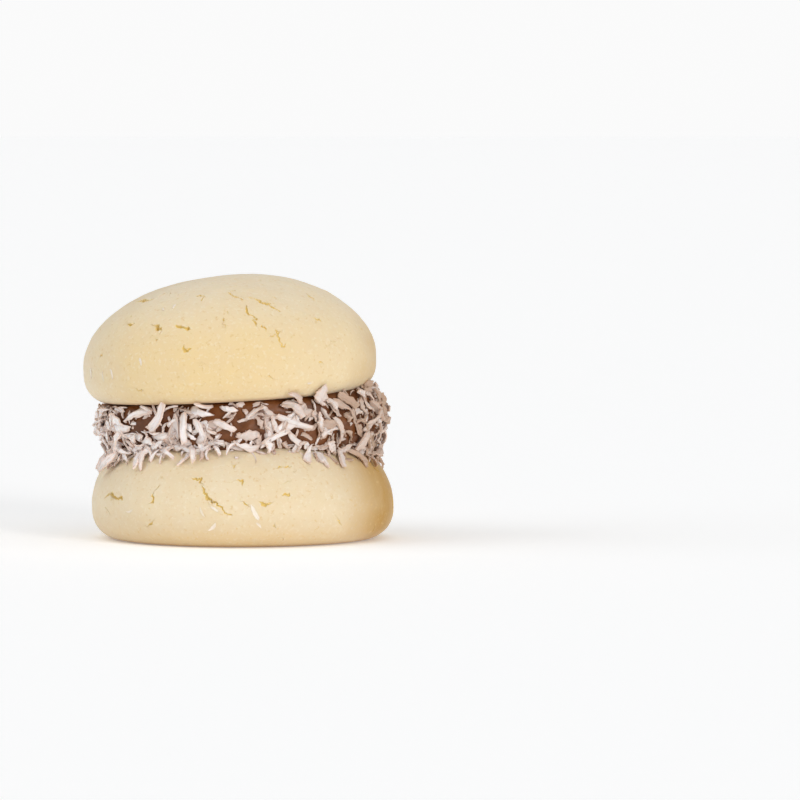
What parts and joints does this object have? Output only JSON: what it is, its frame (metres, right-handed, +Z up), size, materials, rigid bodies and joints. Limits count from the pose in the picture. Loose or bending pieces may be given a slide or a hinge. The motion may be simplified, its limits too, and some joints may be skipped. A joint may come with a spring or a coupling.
{
  "type": "alfajor cookie",
  "caption": "Sandwich cookie: domed pale cornstarch biscuits round a thick milk caramel filling whose edge is rolled in shredded coconut.",
  "frame": {"origin": "on the surface it stands on, under the middle of the bounding box", "axes": "+Z up through both biscuits, +X to the right as seen from the front, -Y towards the front"},
  "size_m": [0.0513, 0.0499, 0.0438],
  "materials": {
    "crust": "dry, fine-grained pale biscuit crust, matte",
    "dulce_de_leche": "thick brown milk caramel with a soft gloss, its edge covered with matte white shredded coconut"
  },
  "bodies": {
    "root": {"lower_biscuit": "crust", "filling": "dulce_de_leche", "upper_biscuit": "crust"}
  },
  "joints": []
}
